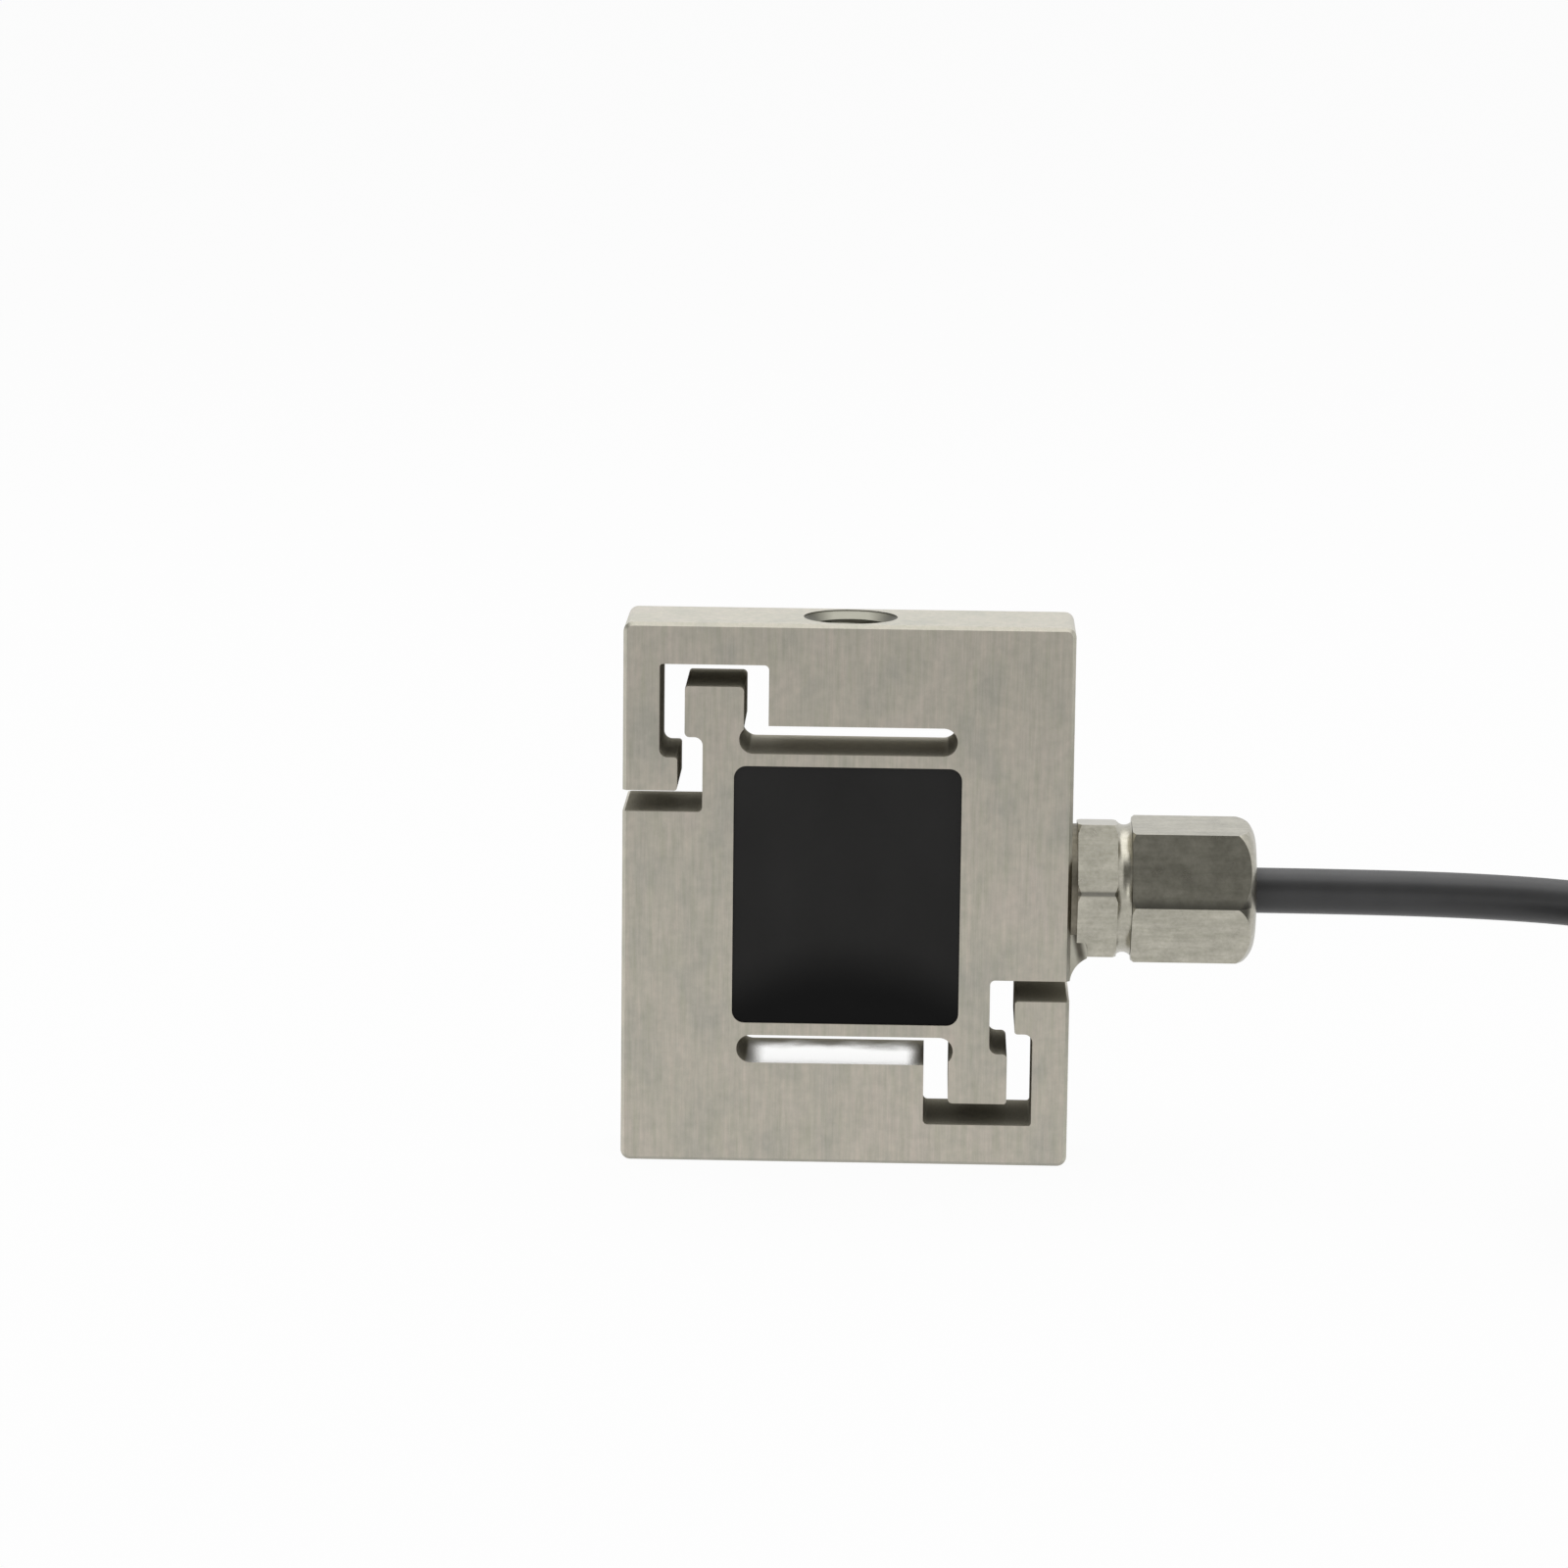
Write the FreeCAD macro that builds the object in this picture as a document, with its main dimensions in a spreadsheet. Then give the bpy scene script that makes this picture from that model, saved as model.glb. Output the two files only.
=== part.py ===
"""S-type load cell: a one-piece steel S-beam with a potted gauge window, M8 threads at both ends,
a metal cable gland in its side and 3 m of four-core cable, tied in a coil.

Frame: the origin is the middle of the bottom face, on the load axis. +Z is the load axis, +X points
out of the gland and the front face looks along -Y. Lengths are in millimetres.
"""
import FreeCAD, Part
import math
import os
import Sketcher
from FreeCAD import Placement, Rotation, Vector

os.makedirs("parts", exist_ok=True)
doc = FreeCAD.newDocument("s_type_load_cell")

# ------------------------------------------------------------------ driving dimensions
SIZES = {
    # steel body
    "body_width": 50.8, "body_height": 62.0, "body_depth": 12.7,
    "outline_radius": 1.1, "edge_break": 0.4,
    # S cut, from the side face inwards
    "arm_width": 4.1, "foot_reach": 6.15, "hook_outer": 6.95, "neck_inner": 9.0,
    "hook_inner": 13.6, "cut_inner": 16.4,
    # S cut, from the end face inwards
    "cap_thickness": 4.7, "hook_top": 7.2, "hook_step": 13.0, "foot_top": 15.35,
    "mouth_top": 19.15, "mouth_bottom": 21.55,
    "root_radius": 0.95, "corner_radius": 0.55, "corner_break": 0.35,
    # long slots that free the flexure beams, and the gauge window between them
    "slot_inset": 13.1, "slot_top": 11.6, "slot_bottom": 14.8,
    "window_inset": 12.55, "window_end": 16.2, "window_radius": 1.4,
    # threaded load holes: blind bores of the thread's outer size, with a 120 degree countersink
    "thread_bore_radius": 4.0, "thread_depth": 9.0, "drill_tip": 1.9, "countersink_radius": 5.3,
    "countersink_land": 0.12, "countersink_depth": 0.87,
    # gland, measured outwards from the side face
    "gland_height": 31.2, "stem_length": 6.0, "stem_radius": 5.0, "relief_radius": 4.4,
    "relief_length": 1.0,
    "washer_thickness": 0.7, "washer_radius": 7.3,
    "across_flats": 15.0, "flange_end": 5.2, "flange_bevel": 0.4, "flange_face_radius": 8.15,
    "collar_radius": 7.6, "collar_hollow": 1.1, "collar_end": 6.8,
    "male_thread_radius": 6.0, "male_thread_end": 13.0,
    "seal_seat": 6.2, "seal_radius": 4.4, "seal_end": 13.2, "thrust_ring_radius": 5.4,
    "thrust_ring_thickness": 1.0,
    "nut_start": 6.85, "nut_bevel": 0.35, "nut_face_radius": 8.2, "nut_end": 20.9,
    "nut_bore_radius": 6.05, "dome_length": 2.1, "dome_radius": 3.5, "nose_radius": 5.0,
    "exit_radius": 2.95, "flange_turn": 36.3, "nut_turn": 25.9,
    "bead_top": 3.4, "bead_bulge": 8.0, "bead_shoulder": 6.0, "bead_reach": 1.9, "bead_lip": 7.0,
    "bead_hollow": 3.4, "bead_foot": 9.6, "bead_half_width": 5.9,
    # potting and what it hides
    "potting_recess": 0.2,
    "gauge_length": 5.0, "gauge_width": 4.0, "gauge_thickness": 0.12, "gauge_offset": 8.2,
    "board_thickness": 0.8, "board_width": 9.0, "board_height": 18.0,
    "joint_radius": 0.75, "joint_height": 0.4,
    "resistor_length": 3.2, "resistor_width": 1.6, "resistor_thickness": 0.6,
    "resistor_pitch": 4.6,
    "lead_radius": 0.16, "core_radius": 0.62, "core_offset": 0.9, "drain_radius": 0.28,
    # cable, coil and stripped end
    "cable_radius": 2.6, "cable_inner_end": -8.4, "cable_start": 19.2,
    "coil_middle_radius": 28.5, "coil_thickness": 20.8, "coil_corner": 2.6,
    "coil_x": 120.2, "coil_y": -30.0,
    "tie_thickness": 1.0, "tie_width": 3.6, "tie_head_width": 5.2, "tie_head_length": 5.6,
    "tie_head_height": 3.0,
    "tail_radius": 28.0, "tail_start": 165.0, "tail_turn": 80.0,
    "sleeve_thickness": 0.5, "sleeve_length": 10.0, "sleeve_overhang": 5.0,
    "tinned_length": 5.0, "tinned_radius": 0.42,
}


class Size:
    """A length that keeps the spreadsheet formula it comes from."""

    def __init__(self, value, formula):
        self.value = value
        self.formula = formula

    def __add__(self, other):
        other = as_size(other)
        return Size(self.value + other.value, f"({self.formula} + {other.formula})")

    def __sub__(self, other):
        other = as_size(other)
        return Size(self.value - other.value, f"({self.formula} - {other.formula})")

    def __mul__(self, factor):
        return Size(self.value * factor, f"({self.formula} * {factor!r})")

    def __truediv__(self, divisor):
        return Size(self.value / divisor, f"({self.formula} / {divisor!r})")

    def __neg__(self):
        return Size(-self.value, f"(0 - {self.formula})")

    __radd__ = __add__
    __rmul__ = __mul__


def as_size(number):
    return number if isinstance(number, Size) else Size(float(number), repr(float(number)))


sheet = doc.addObject("Spreadsheet::Sheet", "Sizes")
for row, (word, number) in enumerate(SIZES.items(), start=1):
    sheet.set(f"A{row}", word)
    sheet.set(f"B{row}", str(number))
    sheet.setAlias(f"B{row}", word)
doc.recompute()


def cell(word):
    return Size(float(getattr(sheet, word)), f"<<Sizes>>.{word}")


def mm(word):
    return float(getattr(sheet, word))


# ------------------------------------------------------------------ modelling helpers
ZERO = as_size(0.0)
TOO_FAR = as_size(12.0)
HEX_CORNER = 1.0 / math.sqrt(3.0)
nodes = []


def bind(item, prop, length):
    item.setExpression(prop, as_size(length).formula)


def new_body(label):
    body = doc.addObject("PartDesign::Body", label)
    body.Label = label
    return body


def place(item, x=ZERO, y=ZERO, z=ZERO):
    for prop, length in (("x", x), ("y", y), ("z", z)):
        bind(item, f"Placement.Base.{prop}", length)


def origin_part(body, role):
    return next(item for item in body.Origin.OriginFeatures if item.Role == role)


def profile(body, name, corners, plane="XZ_Plane", sketch=None):
    """A closed outline on an origin plane. A corner is (x, y), or (x, y, radius) where the edge
    that starts there is an arc: a positive radius turns left on the way round."""
    if sketch is None:
        sketch = body.newObject("Sketcher::SketchObject", name)
        sketch.AttachmentSupport = (origin_part(body, plane), [""])
        sketch.MapMode = "FlatFace"
    first = sketch.GeometryCount
    count = len(corners)
    spots = [Vector(as_size(corner[0]).value, as_size(corner[1]).value, 0) for corner in corners]
    for index, corner in enumerate(corners):
        start, end = spots[index], spots[(index + 1) % count]
        if len(corner) == 2:
            sketch.addGeometry(Part.LineSegment(start, end), False)
            continue
        radius = as_size(corner[2])
        chord = end - start
        middle = (start + end) * 0.5
        bow = math.sqrt(max(radius.value ** 2 - (chord.Length / 2) ** 2, 0.0))
        left = Vector(-chord.y, chord.x, 0).normalize()
        turn = 1 if radius.value > 0 else -1
        centre = middle + left * (bow * turn)
        ring = Part.Circle(centre, Vector(0, 0, 1), abs(radius.value))
        begin, finish = (start, end) if turn > 0 else (end, start)
        angles = [math.atan2(spot.y - centre.y, spot.x - centre.x) for spot in (begin, finish)]
        if angles[1] < angles[0]:
            angles[1] += 2 * math.pi
        sketch.addGeometry(Part.ArcOfCircle(ring, *angles), False)
    starts = {}
    for index, corner in enumerate(corners):
        shape = sketch.Geometry[first + index]
        starts[index] = 1 if (shape.StartPoint - spots[index]).Length < 1e-6 else 2
    for index, corner in enumerate(corners):
        after = (index + 1) % count
        joint = (first + index, 3 - starts[index], first + after, starts[after])
        sketch.addConstraint(Sketcher.Constraint("Coincident", *joint))
    for index, corner in enumerate(corners):
        spot = (-1, 1, first + index, starts[index])
        for kind, length in (("DistanceX", corner[0]), ("DistanceY", corner[1])):
            length = as_size(length)
            number = sketch.addConstraint(Sketcher.Constraint(kind, *spot, length.value))
            bind(sketch, f"Constraints[{number}]", length)
        if len(corner) == 3:
            radius = as_size(corner[2])
            radius = radius if radius.value > 0 else -radius
            rule = Sketcher.Constraint("Radius", first + index, radius.value)
            bind(sketch, f"Constraints[{sketch.addConstraint(rule)}]", radius)
    return sketch


def rounded(corners):
    """Turns square corners (x, y, radius) into lines and quarter arcs; a radius of 0 stays sharp."""
    result = []
    count = len(corners)

    def step(start, end, reach):
        """The point on the way from start to end, along X or Y, that lies reach from start."""
        across = as_size(end[0]).value - as_size(start[0]).value
        along = as_size(end[1]).value - as_size(start[1]).value
        if abs(across) > abs(along):
            return (start[0] + reach * math.copysign(1, across), start[1])
        return (start[0], start[1] + reach * math.copysign(1, along))

    for index, corner in enumerate(corners):
        before, after = corners[index - 1], corners[(index + 1) % count]
        radius = as_size(corner[2])
        if radius.value == 0:
            result.append((corner[0], corner[1]))
            continue
        entry, leave = step(corner, before, radius), step(corner, after, radius)
        turn = ((as_size(corner[0]).value - as_size(before[0]).value)
                * (as_size(after[1]).value - as_size(corner[1]).value)
                - (as_size(corner[1]).value - as_size(before[1]).value)
                * (as_size(after[0]).value - as_size(corner[0]).value))
        result.append((entry[0], entry[1], radius if turn > 0 else -radius))
        result.append(leave)
    return result


def box_corners(left, right, low, high, radius):
    return [(left, low, radius), (right, low, radius), (right, high, radius), (left, high, radius)]


def pad(body, name, sketch, length):
    feature = body.newObject("PartDesign::Pad", name)
    feature.Profile = sketch
    feature.Midplane = True
    bind(feature, "Length", length)
    doc.recompute()
    return feature


def pocket(body, name, sketch, length):
    feature = body.newObject("PartDesign::Pocket", name)
    feature.Profile = sketch
    feature.Midplane = True
    bind(feature, "Length", length)
    return checked_cut(body, feature)


def turned(body, kind, name, corners, axis="H_Axis"):
    """A Revolution or a Groove of an outline about the sketch's horizontal or vertical axis."""
    sketch = profile(body, name + "Profile", corners)
    feature = body.newObject("PartDesign::" + kind, name)
    feature.Profile = sketch
    feature.ReferenceAxis = (sketch, [axis])
    feature.Angle = 360
    if kind == "Groove":
        return checked_cut(body, feature)
    doc.recompute()
    return feature


def checked_cut(body, feature):
    """A cut that points away from the solid shows no error, so its volume is compared."""
    doc.recompute()
    if feature.Shape.Volume >= feature.BaseFeature.Shape.Volume - 1e-6:
        raise RuntimeError(f"{feature.Name} removes nothing from {body.Label}")
    return feature


def hexagon(body, name, start, length, turn):
    """A hexagonal bar along +X; turn is the angle of one corner from +Z towards +Y."""
    bar = body.newObject("PartDesign::AdditivePrism", name)
    bar.Polygon = 6
    bar.AttachmentSupport = (origin_part(body, "YZ_Plane"), [""])
    bar.MapMode = "FlatFace"
    bind(bar, "Circumradius", cell("across_flats") * HEX_CORNER)
    bind(bar, "Height", length)
    spin = Rotation(Vector(0, 0, 1), 90.0 - turn)
    bar.AttachmentOffset = Placement(Vector(0, 0, 0), spin)
    bind(bar, "AttachmentOffset.Base.z", start)
    doc.recompute()
    return bar


def plain_part(label, shape, at=Vector(0, 0, 0)):
    part = doc.addObject("Part::Feature", label)
    part.Label = label
    part.Shape = shape
    part.Placement = Placement(at, Rotation())
    return part


def keep(item):
    """Marks a finished sub-part, whose label names its file."""
    nodes.append(item)
    return item


# ------------------------------------------------------------------ spring body
def s_cut_corners():
    """The stepped cut in the upper left, whose hook and foot stop each other on overload."""
    def x(word):
        return cell(word) - cell("body_width") / 2

    def z(word):
        return cell("body_height") / 2 - cell(word)

    outside = -(cell("body_width") / 2) - 1.0
    root, corner, light = cell("root_radius"), cell("corner_radius"), cell("corner_break")
    slot_middle = cell("body_height") / 2 - (cell("slot_top") + cell("slot_bottom")) / 2
    return [
        (outside, z("mouth_bottom"), ZERO), (x("neck_inner"), z("mouth_bottom"), corner),
        (x("neck_inner"), z("hook_step"), root), (x("hook_outer"), z("hook_step"), corner),
        (x("hook_outer"), z("hook_top"), light), (x("hook_inner"), z("hook_top"), corner),
        (x("hook_inner"), slot_middle, ZERO), (x("cut_inner"), slot_middle, ZERO),
        (x("cut_inner"), z("cap_thickness"), corner), (x("arm_width"), z("cap_thickness"), light),
        (x("arm_width"), z("foot_top"), root), (x("foot_reach"), z("foot_top"), light),
        (x("foot_reach"), z("mouth_top"), light), (outside, z("mouth_top"), ZERO),
    ]


def make_sensor_body():
    body = new_body("sensor_body")
    half_width, half_height = cell("body_width") / 2, cell("body_height") / 2
    half_depth = cell("body_depth") / 2
    through = cell("body_depth") * 2

    outline = box_corners(-half_width, half_width, -half_height, half_height,
                          cell("outline_radius"))
    block = pad(body, "Block", profile(body, "Outline", rounded(outline)), cell("body_depth"))

    def on_a_face(edge):
        return all(abs(abs(corner.Y) - half_depth.value) < 1e-4 for corner in edge.Edges[0].Vertexes)

    rim = [f"Edge{number}" for number, edge in enumerate(block.Shape.Edges, start=1)
           if on_a_face(edge) and abs(edge.CenterOfMass.y) > half_depth.value - 1e-4]
    bevel = body.newObject("PartDesign::Chamfer", "EdgeBreak")
    bevel.Base = (block, rim)
    bind(bevel, "Size", cell("edge_break"))
    doc.recompute()

    s_cut = pocket(body, "SCut", profile(body, "SCutOutline", rounded(s_cut_corners())), through)

    slot_radius = (cell("slot_bottom") - cell("slot_top")) / 2
    slot = box_corners(cell("slot_inset") - half_width, half_width - cell("slot_inset"),
                       half_height - cell("slot_bottom"), half_height - cell("slot_top"),
                       slot_radius * 0.999)
    long_slot = pocket(body, "LongSlot", profile(body, "LongSlotOutline", rounded(slot)), through)

    bore, mouth = cell("thread_bore_radius"), cell("countersink_radius")
    shoulder = half_height - cell("thread_depth")
    thread = turned(body, "Groove", "ThreadBore", [
        (ZERO, shoulder - cell("drill_tip")), (bore, shoulder),
        (bore, half_height - cell("countersink_depth")),
        (mouth, half_height - cell("countersink_land")), (mouth, half_height + 1.0),
        (ZERO, half_height + 1.0),
    ], axis="V_Axis")

    both_ends = body.newObject("PartDesign::PolarPattern", "BothEnds")
    both_ends.Originals = [s_cut, long_slot, thread]
    both_ends.Axis = (origin_part(body, "Y_Axis"), [""])
    both_ends.Angle = 360
    both_ends.Occurrences = 2
    body.Tip = both_ends
    doc.recompute()

    window = box_corners(cell("window_inset") - half_width, half_width - cell("window_inset"),
                         cell("window_end") - half_height, half_height - cell("window_end"),
                         cell("window_radius"))
    pocket(body, "GaugeWindow", profile(body, "WindowOutline", rounded(window)), through)

    axis = cell("gland_height") - half_height
    stem_end = half_width - cell("stem_length")
    hole = cell("exit_radius")
    gland_sketch = profile(body, "GlandBoreProfile", [
        (half_width - cell("window_inset") - 1.0, axis), (half_width + 1.0, axis),
        (half_width + 1.0, axis + cell("stem_radius")), (stem_end, axis + cell("stem_radius")),
        (stem_end, axis + hole), (half_width - cell("window_inset") - 1.0, axis + hole),
    ])
    gland_bore = body.newObject("PartDesign::Groove", "GlandBore")
    gland_bore.Profile = gland_sketch
    gland_bore.ReferenceAxis = (gland_sketch, ["Edge1"])
    gland_bore.Angle = 360
    checked_cut(body, gland_bore)
    place(body, z=half_height)
    return keep(body)


# ------------------------------------------------------------------ gland, from the side face out
def gland_part(label):
    body = new_body(label)
    place(body, x=cell("body_width") / 2, z=cell("gland_height"))
    return body


def make_gland_washer():
    body = gland_part("gland_washer")
    turned(body, "Revolution", "Ring", box(ZERO, cell("washer_thickness"),
                                           cell("stem_radius"), cell("washer_radius")))
    return keep(body)


def box(start, end, inner, outer):
    """The section of a plain ring, as an outline for turned()."""
    return [(start, inner), (end, inner), (end, outer), (start, outer)]


def make_gland_body():
    body = gland_part("gland_body")
    face, collar_end = cell("washer_thickness"), cell("collar_end")
    stem, relief = cell("stem_radius"), cell("relief_radius")
    turned(body, "Revolution", "Turning", [
        (-cell("stem_length"), ZERO), (cell("male_thread_end"), ZERO),
        (cell("male_thread_end"), cell("male_thread_radius")),
        (collar_end, cell("male_thread_radius")),
        (collar_end, cell("collar_radius"), -cell("collar_hollow")),
        (cell("flange_end"), cell("collar_radius")), (cell("flange_end"), stem),
        (face, stem), (face, relief),
        (face - cell("relief_length"), relief), (face - cell("relief_length"), stem),
        (-cell("stem_length"), stem),
    ])
    hexagon(body, "Flange", face, cell("flange_end") - face, SIZES["flange_turn"])
    corner = cell("across_flats") * HEX_CORNER
    rim, bevel, end = cell("flange_face_radius"), cell("flange_bevel"), cell("flange_end")
    turned(body, "Groove", "FlangeBevelInner", [
        (face - 1.0, rim), (face, rim), (face + bevel, corner), (face + bevel, TOO_FAR),
        (face - 1.0, TOO_FAR),
    ])
    turned(body, "Groove", "FlangeBevelOuter", [
        (end - bevel, corner), (end, rim), (end + 1.0, rim), (end + 1.0, TOO_FAR),
        (end - bevel, TOO_FAR),
    ])
    seat, seal = cell("seal_seat"), cell("seal_radius")
    passage = cell("exit_radius")
    turned(body, "Groove", "Passage", [
        (-cell("stem_length") - 1.0, ZERO), (cell("male_thread_end") + 1.0, ZERO),
        (cell("male_thread_end") + 1.0, seal), (seat, seal), (seat, passage),
        (-cell("stem_length") - 1.0, passage),
    ])
    return keep(body)


def make_gland_seal():
    body = gland_part("gland_seal")
    turned(body, "Revolution", "Bush", box(cell("seal_seat"), cell("seal_end"),
                                           cell("cable_radius"), cell("seal_radius")))
    return keep(body)


def make_gland_thrust_ring():
    body = gland_part("gland_thrust_ring")
    end = cell("seal_end") + cell("thrust_ring_thickness")
    turned(body, "Revolution", "Ring", box(cell("seal_end"), end,
                                           cell("exit_radius"), cell("thrust_ring_radius")))
    return keep(body)


def make_gland_cap_nut():
    body = gland_part("gland_cap_nut")
    start, end = cell("nut_start"), cell("nut_end")
    corner = cell("across_flats") * HEX_CORNER
    hexagon(body, "Bar", start, end - start, SIZES["nut_turn"])
    rim, bevel = cell("nut_face_radius"), cell("nut_bevel")
    turned(body, "Groove", "InnerBevel", [
        (start - 1.0, rim), (start, rim), (start + bevel, corner), (start + bevel, TOO_FAR),
        (start - 1.0, TOO_FAR),
    ])
    dome_start, nose = end - cell("dome_length"), cell("nose_radius")
    turned(body, "Groove", "Dome", [
        (dome_start, TOO_FAR), (dome_start, corner, -cell("dome_radius")), (end, nose),
        (end + 1.0, nose), (end + 1.0, TOO_FAR),
    ])
    shoulder = cell("seal_end") + cell("thrust_ring_thickness")
    bore, hole = cell("nut_bore_radius"), cell("exit_radius")
    turned(body, "Groove", "Bore", [
        (start - 1.0, ZERO), (end + 1.0, ZERO), (end + 1.0, hole), (shoulder, hole),
        (shoulder, bore), (start - 1.0, bore),
    ])
    return keep(body)


def make_gland_sealant(gland):
    """Sealing compound that ran down and set in the corner under the flange, flush at both sides."""
    web = gland_part("sealant_web")
    reach, lip = cell("bead_reach"), cell("bead_lip")
    outline = profile(web, "WebOutline", [
        (ZERO, ZERO), (cell("washer_thickness"), -cell("bead_top"), -cell("bead_bulge")),
        (reach, -cell("bead_shoulder")), (reach, -lip, cell("bead_hollow")),
        (ZERO, -cell("bead_foot")),
    ])
    pad(web, "Web", outline, cell("bead_half_width") * 2)
    turned(web, "Groove", "WasherSeat", box(ZERO - 1.0, cell("washer_thickness"), ZERO,
                                            cell("washer_radius")))
    sealant = doc.addObject("Part::Cut", "gland_sealant")
    sealant.Label = "gland_sealant"
    sealant.Base = web
    sealant.Tool = gland
    doc.recompute()
    return keep(sealant)


# ------------------------------------------------------------------ wires and cables
def rounded_path(spots, label, ratio=0.45):
    """Straight runs joined by tangent arcs, each as large as its shorter run allows."""
    edges = []
    radii = []
    here = spots[0]
    for before, corner, after in zip(spots, spots[1:], spots[2:]):
        inward, outward = (before - corner), (after - corner)
        half_turn = (math.pi - inward.getAngle(outward)) / 2
        reach = ratio * min(inward.Length, outward.Length)
        radii.append(reach / math.tan(half_turn))
        inward.normalize()
        outward.normalize()
        start, end = corner + inward * reach, corner + outward * reach
        bisector = (inward + outward).normalize()
        depth = radii[-1] / math.cos(half_turn) - radii[-1]
        edges.append(Part.LineSegment(here, start).toShape())
        edges.append(Part.Arc(start, corner + bisector * depth, end).toShape())
        here = end
    edges.append(Part.LineSegment(here, spots[-1]).toShape())
    if radii:
        print(f"{label}: smallest bend radius {min(radii):.1f} mm")
    return Part.Wire(edges)


def round_wire(spots, radius, label):
    """A round solid swept along a rounded path, with its volume checked."""
    path = rounded_path(spots, label)
    start = (spots[1] - spots[0]).normalize()
    section = Part.Wire(Part.Circle(spots[0], start, radius).toShape())
    solid = path.makePipeShell([section], True, False)
    expected = math.pi * radius ** 2 * path.Length
    if abs(solid.Volume - expected) > 0.02 * expected:
        raise RuntimeError(f"{label}: volume {solid.Volume:.2f} is not {expected:.2f}")
    return solid


def make_gauges_and_leads():
    """A foil gauge at each hinge of the two flexure beams, inside the window, with its two leads."""
    window_top = mm("body_height") - mm("window_end")
    centre = mm("body_height") / 2
    board_face = mm("window_inset") - mm("body_width") / 2 + mm("board_thickness")
    joint_face = board_face + mm("joint_height")
    thickness = mm("gauge_thickness")
    places = (("upper_left", -1, 1), ("upper_right", 1, 1),
              ("lower_left", -1, -1), ("lower_right", 1, -1))
    joints = []
    for label, side, level in places:
        gauge = doc.addObject("Part::Box", "strain_gauge_" + label)
        gauge.Label = "strain_gauge_" + label
        bind(gauge, "Length", cell("gauge_length"))
        bind(gauge, "Width", cell("gauge_width"))
        bind(gauge, "Height", cell("gauge_thickness"))
        top = cell("body_height") - cell("window_end") - cell("gauge_thickness")
        bottom = cell("window_end")
        place(gauge, x=cell("gauge_offset") * side - cell("gauge_length") / 2,
              y=-(cell("gauge_width") / 2), z=top if level > 0 else bottom)
        keep(gauge)

        tab_x = side * mm("gauge_offset")
        gauge_face = window_top - thickness - centre
        strands = []
        for hand in (-1, 1):
            if side < 0:
                landing = (hand * 1.0, 7.4)
                stops = [(tab_x, landing[0], gauge_face), (tab_x, *landing)]
            else:
                landing = (hand * 3.4, 5.6)
                stops = [(tab_x, hand * 1.5, gauge_face), (tab_x, hand * 1.5, gauge_face - 2.1),
                         (-3.0, hand * 2.8, 11.4), (-8.6, *landing)]
            stops.append((joint_face, *landing))
            spots = [Vector(x, y, centre + level * z) for x, y, z in stops]
            strands.append(round_wire(spots, mm("lead_radius"), "gauge lead"))
            joints.append((landing[0], centre + level * landing[1]))
        keep(plain_part("gauge_leads_" + label, Part.makeCompound(strands)))
    return joints


CORES = (("red", 1, 1), ("black", -1, 1), ("green", 1, -1), ("white", -1, -1))


def make_inner_cores():
    """The cable's four cores and drain wire, from the end of its jacket to the board."""
    start = mm("body_width") / 2 + mm("cable_inner_end")
    axis = mm("gland_height")
    board_face = mm("window_inset") - mm("body_width") / 2 + mm("board_thickness")
    joint_face = board_face + mm("joint_height")
    near = mm("core_offset")
    joints = []
    for colour, side, level in CORES:
        y, z = side * near, axis + level * near
        end_y, end_z = side * 2.3, axis + level * 3.7
        spots = [Vector(start, y, z), Vector(9.0, y, z), Vector(-4.0, end_y, end_z),
                 Vector(joint_face, end_y, end_z)]
        keep(plain_part("inner_core_" + colour, round_wire(spots, mm("core_radius"), colour)))
        joints.append((end_y, end_z))
    spots = [Vector(start, 0, axis), Vector(joint_face, 0, axis)]
    keep(plain_part("inner_drain_wire", round_wire(spots, mm("drain_radius"), "drain")))
    joints.append((0.0, axis))
    return joints


def make_board(joints):
    """The terminal board on the window's left wall, with trim resistors and solder joints."""
    left = cell("window_inset") - cell("body_width") / 2
    middle = cell("body_height") / 2
    board = doc.addObject("Part::Box", "terminal_board")
    board.Label = "terminal_board"
    bind(board, "Length", cell("board_thickness"))
    bind(board, "Width", cell("board_width"))
    bind(board, "Height", cell("board_height"))
    place(board, x=left, y=-(cell("board_width") / 2), z=middle - cell("board_height") / 2)
    keep(board)
    for step, label in ((-1, "span_resistor"), (1, "zero_resistor")):
        resistor = doc.addObject("Part::Box", label)
        resistor.Label = label
        bind(resistor, "Length", cell("resistor_thickness"))
        bind(resistor, "Width", cell("resistor_length"))
        bind(resistor, "Height", cell("resistor_width"))
        place(resistor, x=left + cell("board_thickness"), y=-(cell("resistor_length") / 2),
              z=middle + cell("resistor_pitch") / 2 * step - cell("resistor_width") / 2)
        keep(resistor)
    dots = [Part.makeCone(mm("joint_radius"), mm("joint_radius") * 0.7, mm("joint_height"),
                          Vector(left.value + mm("board_thickness"), y, z), Vector(1, 0, 0))
            for y, z in joints]
    keep(plain_part("solder_joints", Part.makeCompound(dots)))


def make_potting(inner):
    """Black compound that fills the window, cut round everything it covers."""
    half_width, half_height = cell("body_width") / 2, cell("body_height") / 2
    block = new_body("potting_block")
    outline = box_corners(cell("window_inset") - half_width, half_width - cell("window_inset"),
                          cell("window_end") - half_height, half_height - cell("window_end"),
                          cell("window_radius"))
    depth = cell("body_depth") - cell("potting_recess") * 2
    pad(block, "Fill", profile(block, "FillOutline", rounded(outline)), depth)
    place(block, z=half_height)
    hidden = doc.addObject("Part::Compound", "potted_pieces")
    hidden.Links = inner
    potting = doc.addObject("Part::Cut", "potting_compound")
    potting.Label = "potting_compound"
    potting.Base = block
    potting.Tool = hidden
    doc.recompute()
    return keep(potting)


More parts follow.
